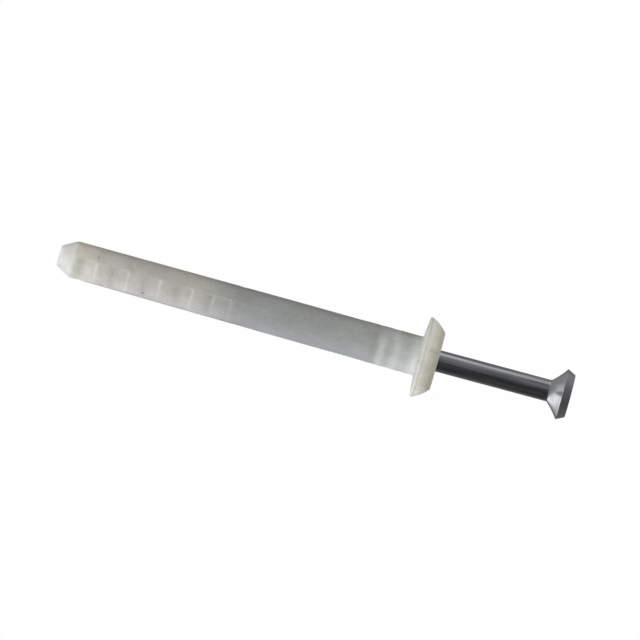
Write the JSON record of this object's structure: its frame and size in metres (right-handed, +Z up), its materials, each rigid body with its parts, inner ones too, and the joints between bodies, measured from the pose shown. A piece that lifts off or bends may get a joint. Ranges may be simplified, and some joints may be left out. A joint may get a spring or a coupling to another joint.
{
  "type": "nylon wall plug",
  "caption": "Hammer-in wall plug: a moulded nylon sleeve with a slit expansion zone and a domed collar, and a countersunk steel drive nail standing part way out of it.",
  "frame": {"origin": "the point on the sleeve's axis in the plane of the underside of the collar, which is the plane of the wall once the plug is fitted", "axes": "+X towards the nail head, along the plug as it lies; the plug's own axis rises from the tip by 3.59 degrees about Y, because it lies on its collar rim and its tip shoulder; +Z up"},
  "size_m": [0.1081, 0.0168, 0.0168],
  "materials": {
    "nylon": "natural milky nylon, satin as moulded, slightly translucent",
    "zinc_plated_steel": "bright zinc plating over drawn and headed wire"
  },
  "bodies": {
    "root": {"sleeve": "nylon", "nail": "zinc_plated_steel"}
  },
  "joints": []
}
